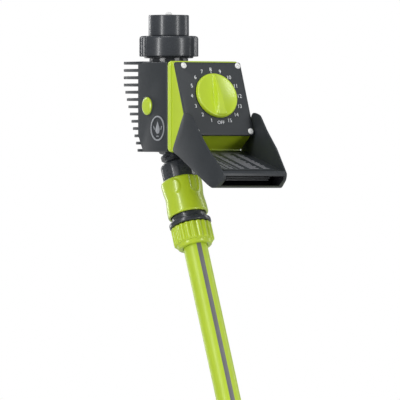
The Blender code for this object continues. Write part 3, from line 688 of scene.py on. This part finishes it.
# The grip runs from y = GRIP_TOP down the knob for GRIP_LENGTH, and widens as it goes
GRIP_TOP, GRIP_LENGTH = 17.6, 35.0
GRIP_HALF, GRIP_WIDENS = 0.1, 3.3
GRIP_SIDE, GRIP_SIDE_WIDENS = 1.0, 1.4
GRIP_HEIGHT, GRIP_CROWN, GRIP_CROWN_R, GRIP_RISE = 3.7, 2.9, 18.4, 0.6
GRIP_END_R, GRIP_GONE_R = 17.2, 18.8


def knob_height(x, y):
    """A bowl inside a rounded rim, with a wedge of a grip across it that widens downwards."""
    r = math.hypot(x, y)
    bowl = BOWL_RIM - BOWL_DEPTH * (1 - (min(r, BOWL_R) / BOWL_R) ** 2)
    rim = bowl - RIM_DROP * ease(RIM_INNER_R, RIM_OUTER_R, r) ** 2
    along = max(0.0, min(1.0, (GRIP_TOP - y) / GRIP_LENGTH))
    half = GRIP_HALF + GRIP_WIDENS * along
    side = 1 - ease(half, half + GRIP_SIDE + GRIP_SIDE_WIDENS * along, abs(x))
    crest = GRIP_HEIGHT + GRIP_CROWN * (1 - (y / GRIP_CROWN_R) ** 2) + GRIP_RISE * along
    ends = 1 - ease(GRIP_END_R, GRIP_GONE_R, r)
    return rim + max(0.0, crest - bowl) * side * ends


relief("dial_knob_fine", KNOB_R, knob_height, KNOB_FOOT, KNOB_FRAME, "dial", "lime_plastic",
       ["dial_knob"], 100, 224)

# ---------------------------------------------------------------- cover

# The cover as it hangs open: ears at the rear, a tray between them and a deep nose
FLOOR_REAR, FLOOR_FRONT = (70.3, -119.6), (118.6, -145.4)
COVER_SIDE = [(77.8, -81.9), (87.9, -84.3), (97.9, -97.0), (133.5, -133.7), (131.6, -138.6),
              (122.6, -145.0), FLOOR_FRONT, FLOOR_REAR, (59.2, -114.2)]
COVER_HALF_X, COVER_WALL, NOSE_HALF_X, NOSE_WALL = 34.7, 1.6, 31.0, 1.4
COVER_ROUND, COVER_PIN_BORE_R = 3.2, 2.0
# The tray's upper face, which carries the chart
TRAY_REAR, TRAY_FRONT = (61.0, -113.6), (133.5, -133.7)
TRAY_SLOPE = (TRAY_FRONT[1] - TRAY_REAR[1]) / (TRAY_FRONT[0] - TRAY_REAR[0])
TRAY_END_F, TRAY_START_F = 130.6, 61.3
PLAN_BEND = 113.0
RECESS_REAR, RECESS_HALF_X, RECESS_ROOF, RECESS_FLOOR = 84, 29.0, 1.8, 1.3
# The black sheet in the nose hollow is painted shade: its thickness, and where it stops short of the
# nose
SHADE_SHEET_T, SHADE_SHEET_FRONT = 0.5, 132.0
GRILLE_SIDE = [(117.5, -132.7), (119.0, -133.1), (113.5, -138.6), (112.0, -137.6)]
GRILLE_HALF_X = 27.1
NOSE_RIBS, NOSE_RIB_HALF_X = 3, 22


def tray_z(f):
    """The height of the tray's upper face at f forward."""
    return TRAY_REAR[1] + TRAY_SLOPE * (f - TRAY_REAR[0])


def plan(half, nose_half, low_f, high_f):
    """A plan outline, parallel at the ears and drawn in towards the nose, as a tall solid."""
    points = [(half, -low_f), (half, -PLAN_BEND), (nose_half, -high_f), (-nose_half, -high_f),
              (-half, -PLAN_BEND), (-half, -low_f)]
    return solid(points, -160, -60, where=IDENTITY)


def nose_recess(inset):
    """The hollow under the tray's front, open at the nose; inset leaves room for the black sheet that
    paints its shade.
    """
    roof, floor_gap = RECESS_ROOF + inset, RECESS_FLOOR + inset
    rear, beyond = RECESS_REAR + inset, 140

    def under(f):
        fall = (FLOOR_REAR[1] - FLOOR_FRONT[1]) / (FLOOR_FRONT[0] - FLOOR_REAR[0])
        return FLOOR_REAR[1] - fall * (f - FLOOR_REAR[0]) + floor_gap

    lip = -145.2 + floor_gap
    return solid([(rear, tray_z(rear) - roof), (beyond, tray_z(beyond) - roof), (beyond, lip),
                  (118.0, lip), (112, under(112)), (rear, under(rear))],
                 -RECESS_HALF_X + inset, RECESS_HALF_X - inset)


def cover():
    """The hood: its side outline, cut to its plan and then by the tray, the recess and the pins."""
    inner = COVER_HALF_X - COVER_WALL
    hood = carve(solid(fillet(COVER_SIDE, COVER_ROUND, True, 5), -COVER_HALF_X, COVER_HALF_X),
                 [('INTERSECT', plan(COVER_HALF_X, NOSE_HALF_X, 50, 134.5))])
    tray = carve(solid([(50, tray_z(50)), (TRAY_END_F, tray_z(TRAY_END_F)), (133, -120),
                        (133, -70), (50, -70)], -inner, inner),
                 [('INTERSECT', plan(inner, NOSE_HALF_X - NOSE_WALL, 40, 136))])
    # Between the ears the tray stops short of the bezel
    rear = solid([(50, -60), (TRAY_START_F, -60), (TRAY_START_F, -125), (50, -125)], -inner, inner)
    pins = drum(COVER_PIN_BORE_R, -34.0, 34.0, Matrix.Translation(PIVOT) @ RIGHTWARD, 32)
    mesh = carve(hood, [('DIFFERENCE', cutter) for cutter in (tray, nose_recess(0.0), rear, pins)],
                 0.45, 3, 28)
    finish_piece(mesh, "cover_fine", IDENTITY, "cover", "charcoal_plastic", ["cover"])


def nose_grille():
    """Painted shade in the nose: a black sheet over its hollow's walls. Then the plate across it and
    the grille's three ribs.
    """
    front = solid([(134, -120), (134, -150), (SHADE_SHEET_FRONT, -150), (SHADE_SHEET_FRONT, -120)], -40, 40)
    shade_sheet = carve(nose_recess(0.0),
                   [('DIFFERENCE', nose_recess(SHADE_SHEET_T)),
                    ('INTERSECT', solid(COVER_SIDE, -RECESS_HALF_X, RECESS_HALF_X)),
                    ('DIFFERENCE', front)])
    # Painted shade: a black sheet, darker than the cover's charcoal, over the walls of the shaded nose
    # hollow
    finish_piece(shade_sheet, "nose_shade_sheet", IDENTITY, "cover", "black_plastic")
    plate = solid(GRILLE_SIDE, -GRILLE_HALF_X, GRILLE_HALF_X)
    finish_piece(plate, "nose_grille_fine", IDENTITY, "cover", "black_plastic", ["nose_grille"])
    ribs = []
    for number in range(NOSE_RIBS):
        f, z = 118.2 - number * 1.9, -134.3 - number * 1.7
        ribs.append(solid([(f - 1.5, z + 0.5), (f + 4.5, z - 0.5), (f + 4.5, z - 1.3),
                           (f - 1.5, z - 0.5)], -NOSE_RIB_HALF_X, NOSE_RIB_HALF_X, 0.2))
    # Painted highlight: the charcoal ribs get a lighter grey so that they read as lit lines
    finish_piece(merge(ribs), "nose_ribs", IDENTITY, "cover", "charcoal_plastic", finish="rib_highlight_grey")


CHART_F, CHART_LIFT = 98.0, 0.35
CHART_FRAME = (shift(0, -CHART_F, tray_z(CHART_F) + CHART_LIFT)
               @ Matrix.Rotation(math.atan(-TRAY_SLOPE), 4, 'X'))
CHART_HALF_X, CHART_HALF_V, CHART_T = 25.0, 28.0, 0.5
PRINT_LOW, PRINT_HIGH = 0.46, 0.56
RULE_XS, RULE_HALF = (-23.4, -11.0), 0.2
# Each column of bars: its centre and its half width
COLUMNS = ((-20.4, 1.3), (-15.2, 2.2), (-4.1, 2.8), (7.6, 5.2), (19.2, 3.2))
ROWS, ROW_TOP, ROW_PITCH, ROW_HALF = 16, 23.2, 3.05, 0.5


def chart():
    """The label on the tray: a plate, ruled lines, and columns of plain bars for its text."""
    plate = solid(box_points(CHART_HALF_X, CHART_HALF_V), 0.0, CHART_T, 0.15, CHART_FRAME,
                  corner=1.2)
    finish_piece(plate, "programme_chart_fine", IDENTITY, "cover", "print_grey",
                 ["programme_chart"], finish="charcoal_plastic")
    bars = []

    def bar(x, v, half_x, half_v):
        bars.append(solid(box_points(half_x, half_v, x, v), PRINT_LOW, PRINT_HIGH, 0, CHART_FRAME))

    for x in RULE_XS:
        bar(x, 0.0, RULE_HALF, 25.5)
    bar(0.0, 26.4, 23.2, RULE_HALF)
    for row in range(ROWS):
        v = ROW_TOP - row * ROW_PITCH
        for number, (x, half) in enumerate(COLUMNS):
            # The bars' right ends are ragged, by up to a quarter of their width
            short = 0.25 * 0.5 * (1 + math.sin(row * 2.4 + number * 1.7))
            bar(x - short * half, v, half * (1 - short), ROW_HALF)
    finish_piece(merge(bars), "chart_print", IDENTITY, "cover", "print_grey", finish="chart_ink")


cover()
nose_grille()
chart()

# ---------------------------------------------------------------- outlet and connector

FACETS, FACET_DEPTH = 16, 0.22
BARREL_TOP, BARREL_INNER_R = -12.6, 13.4


def facets(r, a, z):
    """Soft flats on the nipple's barrel."""
    if r < BARREL_INNER_R or z > BARREL_TOP:
        return r
    part = TURN / FACETS
    off = (a + part / 2) % part - part / 2
    return r - FACET_DEPTH * (1 - (abs(off) / (part / 2)) ** 2)


lathe("outlet_nipple_fine", [(9.8, -8.8), (10.6, -8.8), (14.0, -11.6), (14.5, BARREL_TOP),
                             (14.5, -25.9), (8.3, -25.9), (8.3, -46.6), (7.3, -46.6),
                             (7.3, -49.4), (8.3, -49.4), (7.6, -52.0), (5.6, -52.0),
                             (5.6, -16.0), (9.8, -16.0)],
      OUTLET_FRAME, "timer_body", "dark_fitting", ["outlet_nipple"], 144, 0.5, step=1.0,
      shape=facets)
lathe("connector_body_fine", [(8.9, -26.9), (14.4, -26.9), (14.4, -36.0), (12.4, -37.0),
                              (12.4, -56.6), (14.4, -57.6), (14.4, -62.8), (17.3, -62.8),
                              (17.7, -63.6), (17.7, -66.2), (17.2, -66.8), (13.0, -66.8),
                              (13.0, -79.6), (8.9, -79.6)],
      OUTLET_FRAME, "timer_body", "dark_fitting", ["connector_body"], 96, 0.45)

SLEEVE_INNER_R = 15.6
WAIST_DEPTH, WAIST_Z, WAIST_SPREAD = 0.9, -41.5, 6.5
# An oval pad and a long recess, each by its angle, depth, height, half width and half height
PAD_ANGLE, PAD_DEPTH, PAD_Z, PAD_HALF, PAD_HALF_Z = math.radians(-144), 0.75, -34.6, 5.0, 6.6
NOTCH_ANGLE, NOTCH_DEPTH, NOTCH_Z, NOTCH_HALF, NOTCH_HALF_Z = (
    math.radians(-84), 1.0, -36.5, 4.8, 5.0)


def swing(a, centre):
    """How far angle a is from centre, from -pi to pi."""
    return (a - centre + math.pi) % TURN - math.pi


def sleeve_shape(r, a, z):
    """The sleeve's grips: on each side a raised pad, a recess open at the top and a waist."""
    if r < SLEEVE_INNER_R:
        return r
    pinch = 0.5 - 0.5 * math.cos(2 * (a - PAD_ANGLE))
    made = r - WAIST_DEPTH * math.exp(-((z - WAIST_Z) / WAIST_SPREAD) ** 2) * pinch
    for flip in (0, math.pi):
        x = swing(a, PAD_ANGLE + flip) * r
        reach = math.hypot(x / PAD_HALF, (z - PAD_Z) / PAD_HALF_Z)
        made += PAD_DEPTH * (1 - ease(0.75, 1.05, reach))
        x = swing(a, NOTCH_ANGLE + flip) * r
        reach = math.hypot(x / NOTCH_HALF, min(0.0, z - NOTCH_Z) / NOTCH_HALF_Z)
        made -= NOTCH_DEPTH * (1 - ease(0.72, 1.08, reach))
    return made


lathe("connector_sleeve_fine", [(14.8, -26.3), (16.5, -26.3), (17.2, -27.4), (17.2, -34.0),
                                (16.9, -42.0), (17.1, -56.6), (16.6, -57.8), (14.8, -57.8),
                                (14.8, -39.4), (12.9, -39.4), (12.9, -38.0), (14.8, -37.2)],
      OUTLET_FRAME, "connector_sleeve", "lime_plastic", ["connector_sleeve"], 192, 0.6, step=0.5,
      shape=sleeve_shape)

FLUTES, FLUTE_DEPTH = 20, 1.15
FLUTE_INNER_R, FLUTE_FULL_R = 14.6, 16.0
FLUTE_FOOT, FLUTE_FULL_Z = -84.6, -82.6


def flutes(r, a, z):
    """The clamp nut's finger flutes; they leave its lower edge scalloped."""
    if r < FLUTE_INNER_R:
        return r
    wave = (0.5 + 0.5 * math.cos(FLUTES * a)) ** 1.5
    return (r - FLUTE_DEPTH * wave * ease(FLUTE_INNER_R, FLUTE_FULL_R, r)
            * ease(FLUTE_FOOT, FLUTE_FULL_Z, z))


lathe("connector_nut_fine", [(13.4, -67.3), (16.6, -67.3), (17.3, -68.1), (17.3, -81.6),
                             (16.4, -82.6), (15.0, -83.2), (14.4, -85.3), (13.6, -86.0),
                             (10.65, -86.0), (10.65, -84.9), (13.4, -84.9)],
      OUTLET_FRAME, "clamp_nut", "lime_plastic", ["connector_nut"], 320, 0.45, step=0.8,
      shape=flutes)

# ---------------------------------------------------------------- hose

HOSE_R = 10.15 * MM
HOSE_LENGTH = 1500.0 * MM
# The hose's end sits this far along the outlet's axis, inside the connector
HOSE_START_S = 80.0 * MM
STRAIGHT_TO_Z = -328.0 * MM
STRAIGHT_POINTS = 6
BEND_R = 90.0 * MM
BEND_POINTS = 10
COIL_R = 130.0 * MM
COIL_PITCH = 20.7 * MM
COIL_POINTS = 18
# Over its last TAIL_TURN the coil is pulled inwards, so that the far end lies clear
TAIL_TURN = math.radians(70)
TAIL_PULL = 12.0 * MM
TUBE_SIDES = 48
STRIPE_SIDES = 3
STRIPE_ANGLE = math.radians(105)


def hose_route():
    """The hose's centreline: straight out of the connector, one bend, then a flat inward spiral."""
    out = OUTLET_FRAME.to_3x3() @ Vector((0, 0, -1))
    start = OUTLET_FOOT + out * HOSE_START_S
    straight = (STRAIGHT_TO_Z - start.z) / out.z
    points = [start + out * straight * i / STRAIGHT_POINTS for i in range(STRAIGHT_POINTS + 1)]
    across = Vector((1, 0, 0))
    foot = points[-1]
    points += [foot + across * BEND_R * (1 - math.cos(a)) + out * BEND_R * math.sin(a)
               for a in (math.radians(90 / BEND_POINTS * i) for i in range(1, BEND_POINTS + 1))]
    land = points[-1]
    centre = land + Vector((0, COIL_R, 0))

    def on_coil(turn, pull=0.0):
        radius = COIL_R - COIL_PITCH * turn / TURN - pull
        return centre + Vector((math.sin(turn), -math.cos(turn), 0)) * radius

    # Walk round the spiral until it has used up the length that is left
    left = HOSE_LENGTH - straight - BEND_R * math.pi / 2
    total = travelled = 0.0
    last = land
    while travelled < left:
        total += TURN / COIL_POINTS / 4
        here = on_coil(total)
        travelled += (here - last).length
        last = here
    count = math.ceil(total / (TURN / COIL_POINTS))
    for i in range(1, count + 1):
        turn = total * i / count
        points.append(on_coil(turn, TAIL_PULL * max(0.0, (turn - total + TAIL_TURN) / TAIL_TURN) ** 2))
    return points


def smooth_line(points, parts=4):
    """A Catmull-Rom line through the points."""
    made = []
    for i in range(len(points) - 1):
        p0, p1 = points[max(0, i - 1)], points[i]
        p2, p3 = points[i + 1], points[min(len(points) - 1, i + 2)]
        for k in range(parts):
            t = k / parts
            made.append(0.5 * (2 * p1 + (p2 - p0) * t + (2 * p0 - 5 * p1 + 4 * p2 - p3) * t * t
                               + (3 * p1 - p0 - 3 * p2 + p3) * t ** 3))
    made.append(points[-1])
    return made


def tube_mesh(line):
    """A closed tube along the line, with a stripe of the second material down it."""
    bm = bmesh.new()
    heading = (line[1] - line[0]).normalized()
    side = (Vector((1, 0, 0)) - heading * heading.x).normalized()
    rows = []
    for i, here in enumerate(line):
        ahead = (line[min(i + 1, len(line) - 1)] - line[max(i - 1, 0)]).normalized()
        side = (side - ahead * side.dot(ahead)).normalized()
        other = ahead.cross(side)
        rows.append([bm.verts.new(here + (side * math.cos(a) + other * math.sin(a)) * HOSE_R)
                     for a in (STRIPE_ANGLE + TURN * (k - STRIPE_SIDES / 2) / TUBE_SIDES
                               for k in range(TUBE_SIDES))])
    for near, far in zip(rows, rows[1:]):
        for k in range(TUBE_SIDES):
            n = (k + 1) % TUBE_SIDES
            face = bm.faces.new((near[k], near[n], far[n], far[k]))
            face.material_index = 1 if k < STRIPE_SIDES else 0
    bm.faces.new(rows[0])
    bm.faces.new(rows[-1])
    bmesh.ops.recalc_face_normals(bm, faces=bm.faces)
    mesh = bpy.data.meshes.new("hose_tube")
    bm.to_mesh(mesh)
    bm.free()
    mesh.materials.append(MATERIALS["lime_hose"])
    mesh.materials.append(MATERIALS["hose_stripe"])
    return mesh


JOINER_BORE_R, BARB_R, BARB_ROOT_R, BARB_LENGTH = 5.0, 7.4, 6.4, 4.3
BARB_TOPS = (36, 31.5, 27)
COLLAR_R, COLLAR_TOP, COLLAR_RIDGES, COLLAR_RELIEF = 10.9, 12, 16, 0.35


def collar_ridges(r, a, z):
    """Finger ridges round the joiner's collar."""
    if r > 10 and 1.2 < z < 11.0:
        return r - COLLAR_RELIEF * (0.5 + 0.5 * math.cos(COLLAR_RIDGES * a))
    return r


def hose():
    """The hose, with a barbed joiner on its far end."""
    line = smooth_line(hose_route())
    tube = finish_piece(tube_mesh(line), "hose_tube", IDENTITY, "timer_body", "lime_hose",
                        ["hose", "hose_coil"])
    heading = (line[-1] - line[-2]).normalized()
    upward = Vector((0, 0, 1))
    facing = Matrix((upward.cross(heading), upward, heading)).transposed().to_4x4()
    profile = [(JOINER_BORE_R, BARB_TOPS[0]), (BARB_ROOT_R, BARB_TOPS[0])]
    for height in BARB_TOPS:
        profile += [(BARB_R, height - BARB_LENGTH), (BARB_ROOT_R, height - BARB_LENGTH - 0.2)]
    profile += [(BARB_ROOT_R, COLLAR_TOP), (10.4, COLLAR_TOP), (COLLAR_R, 11.2), (COLLAR_R, 1.0),
                (10.4, 0.3), (JOINER_BORE_R, 0.3)]
    joiner = lathe("hose_joiner_fine", profile, Matrix.Translation(line[-1]) @ facing, "timer_body",
                   "dark_fitting", ["hose_joiner"], 128, 0.3, step=1.0, shape=collar_ridges)


hose()

# ---------------------------------------------------------------- camera, floor and light

# In metres: the camera stands far off with a long lens, which frames FRAME_WIDTH at the target
VIEW_AZIMUTH = math.radians(-32.8)
TARGET = Vector((0.0, -48.3, -155.2)) * MM
DISTANCE = 8.0
FRAME_WIDTH = 0.334
SENSOR = 36.0
FLOOR_R, FLOOR_T, FLOOR_SIDES = 1100, 8, 96

camera_data = bpy.data.cameras.new("view")
camera_data.sensor_width = SENSOR
camera_data.lens = DISTANCE * SENSOR / FRAME_WIDTH
camera_data.clip_end = 40
camera = bpy.data.objects.new("view", camera_data)
COLLECTION.objects.link(camera)
toward = Vector((math.sin(VIEW_AZIMUTH), -math.cos(VIEW_AZIMUTH), 0))
camera.location = TARGET + toward * DISTANCE
camera.rotation_euler = (-toward).to_track_quat('-Z', 'Y').to_euler()
bpy.context.scene.camera = camera
bpy.context.scene.view_settings.view_transform = 'Standard'


def floor():
    """A pale round floor under the coil."""
    mesh = drum(FLOOR_R, -FLOOR_T, 0, Matrix.Translation((0, 0, CAD_BOX[0][2])), FLOOR_SIDES)
    obj = bpy.data.objects.new("floor", mesh)
    COLLECTION.objects.link(obj)
    mesh.materials.append(moulded("floor_white", (0.72, 0.72, 0.72), 0.7, 4, 0.02, vary=0.01))


def light(name, place, size, tall, power):
    """An area light at a place, aimed at the target."""
    data = bpy.data.lights.new(name, 'AREA')
    data.energy = power
    data.shape = 'RECTANGLE'
    data.size = size
    data.size_y = tall
    obj = bpy.data.objects.new(name, data)
    COLLECTION.objects.link(obj)
    obj.location = place
    obj.rotation_euler = (TARGET - obj.location).to_track_quat('-Z', 'Y').to_euler()


floor()
right = Vector((-toward.y, toward.x, 0))
up = Vector((0, 0, 1))
# Each strip light: its bearing from the camera's side in degrees, its height above the target,
# its distance, its width and height in metres, and its power in watts
STRIPS = (("strip_right", 52, 0.25, 1.2, 0.16, 1.3, 6.5),
          ("strip_left", -42, 0.35, 1.2, 0.12, 1.2, 8.0),
          ("rim_left", -140, 0.25, 1.2, 0.16, 1.2, 4.0),
          ("rim_right", 118, 0.30, 1.3, 0.25, 1.2, 3.0))
for name, bearing, height, reach, size, tall, power in STRIPS:
    turn = math.radians(bearing)
    spot = TARGET + (toward * math.cos(turn) + right * math.sin(turn)) * reach + up * height
    light(name, spot, size, tall, power)
light("top", TARGET + up * 1.3 + toward * 0.35 - right * 0.2, 0.6, 0.6, 5)

# The camera sees a white backdrop, and everything else is lit by a softer, slightly cool one
SOFT_LIGHT = 0.32
world = bpy.data.worlds.new("studio")
world.use_nodes = True
bpy.context.scene.world = world
tree = world.node_tree
backdrop = tree.nodes["Background"]
backdrop.inputs["Color"].default_value = (1, 1, 1, 1)
backdrop.inputs["Strength"].default_value = 1.0
soft = tree.nodes.new("ShaderNodeBackground")
soft.inputs["Color"].default_value = (0.93, 0.96, 1.0, 1)
soft.inputs["Strength"].default_value = SOFT_LIGHT
rays = tree.nodes.new("ShaderNodeLightPath")
mix = tree.nodes.new("ShaderNodeMixShader")
tree.links.new(rays.outputs["Is Camera Ray"], mix.inputs[0])
tree.links.new(soft.outputs["Background"], mix.inputs[1])
tree.links.new(backdrop.outputs["Background"], mix.inputs[2])
tree.links.new(mix.outputs["Shader"], tree.nodes["World Output"].inputs["Surface"])
